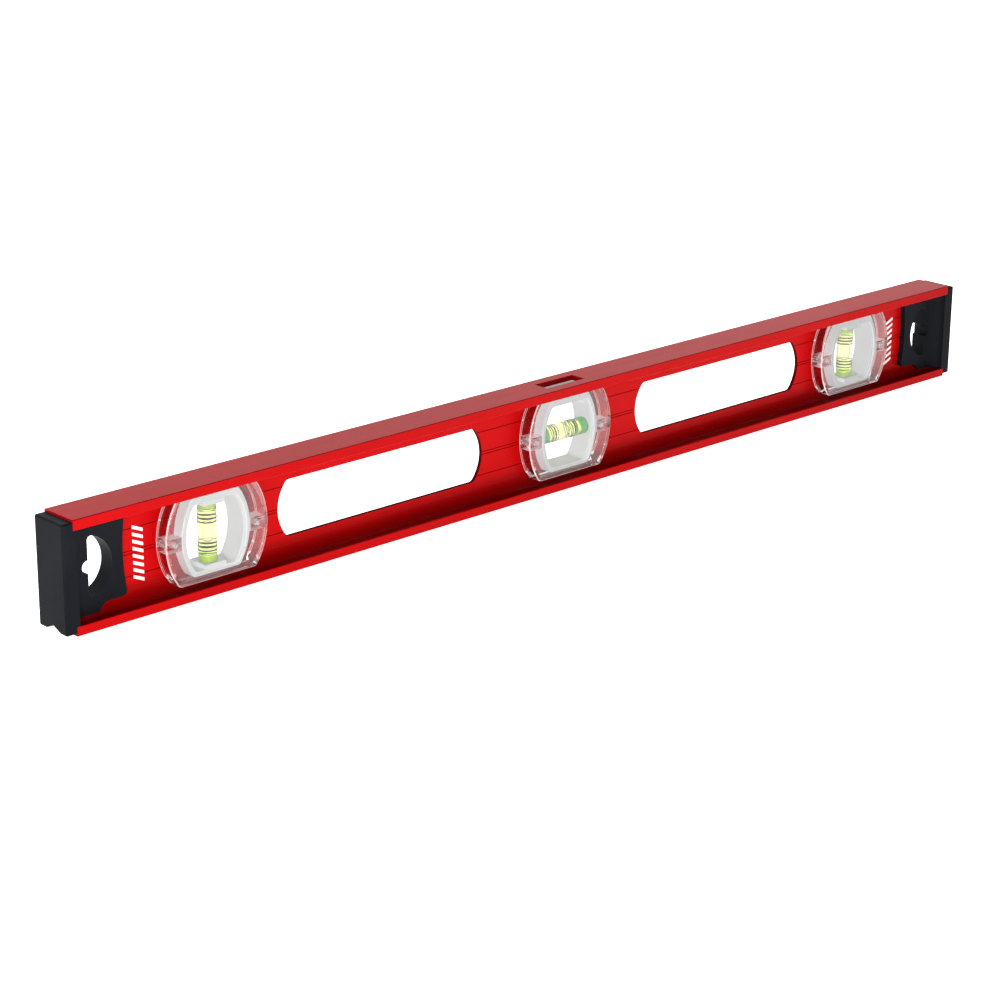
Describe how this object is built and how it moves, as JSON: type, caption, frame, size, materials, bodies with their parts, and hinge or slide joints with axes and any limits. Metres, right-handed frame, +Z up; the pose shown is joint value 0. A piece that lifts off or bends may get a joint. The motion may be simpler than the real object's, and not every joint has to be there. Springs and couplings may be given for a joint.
{
  "type": "spirit level",
  "caption": "Red aluminium I-beam spirit level with a centre level vial, a plumb vial near each end, handle slots and black end caps with hang holes.",
  "frame": {"origin": "middle of the underside, on the surface that the level stands on", "axes": "+X along the level to the right seen from the front, +Y from the front to the back, +Z up"},
  "size_m": [0.6096, 0.021, 0.053],
  "materials": {
    "red_aluminium": "red coating, satin gloss",
    "black_plastic": "fine moulded texture",
    "clear_cover": "clear polished acrylic",
    "white_plastic": "satin white moulding",
    "clear_pin": "clear moulded pin",
    "vial_tube": "clear polished acrylic tube",
    "vial_liquid": "yellow-green dyed spirit",
    "gauge_ink": "printed dark bands",
    "air_bubble": "air in the liquid",
    "green_plug": "green translucent plug"
  },
  "bodies": {
    "level": {"beam": "red_aluminium", "left_end_cap": "black_plastic", "right_end_cap": "black_plastic", "left_plumb_front_cover": "clear_cover", "left_plumb_front_holder": "white_plastic", "left_plumb_back_cover": "clear_cover", "left_plumb_back_holder": "white_plastic", "left_plumb_joining_pins": "clear_pin", "left_plumb_vial_tube": "vial_tube", "left_plumb_vial_liquid": "vial_liquid", "left_plumb_gauge_lines": "gauge_ink", "left_plumb_lower_plug": "green_plug", "left_plumb_upper_plug": "green_plug", "centre_level_front_cover": "clear_cover", "centre_level_front_holder": "white_plastic", "centre_level_back_cover": "clear_cover", "centre_level_back_holder": "white_plastic", "centre_level_joining_pins": "clear_pin", "centre_level_vial_tube": "vial_tube", "centre_level_vial_liquid": "vial_liquid", "centre_level_gauge_lines": "gauge_ink", "centre_level_left_plug": "green_plug", "centre_level_right_plug": "green_plug", "right_plumb_front_cover": "clear_cover", "right_plumb_front_holder": "white_plastic", "right_plumb_back_cover": "clear_cover", "right_plumb_back_holder": "white_plastic", "right_plumb_joining_pins": "clear_pin", "right_plumb_vial_tube": "vial_tube", "right_plumb_vial_liquid": "vial_liquid", "right_plumb_gauge_lines": "gauge_ink", "right_plumb_lower_plug": "green_plug", "right_plumb_upper_plug": "green_plug"},
    "left_bubble": {"left_plumb_bubble": "air_bubble"},
    "centre_bubble": {"centre_level_bubble": "air_bubble"},
    "right_bubble": {"right_plumb_bubble": "air_bubble"}
  },
  "joints": [
    {"name": "left_bubble_slide", "type": "slide", "parent": "level", "child": "left_bubble", "axis": [0, 0, 1], "range_m": [-0.0061, 0.0061], "stiffness_N_per_m": 20},
    {"name": "centre_bubble_slide", "type": "slide", "parent": "level", "child": "centre_bubble", "axis": [1, 0, 0], "range_m": [-0.0061, 0.0061], "stiffness_N_per_m": 20},
    {"name": "right_bubble_slide", "type": "slide", "parent": "level", "child": "right_bubble", "axis": [0, 0, 1], "range_m": [-0.0061, 0.0061], "stiffness_N_per_m": 20}
  ]
}
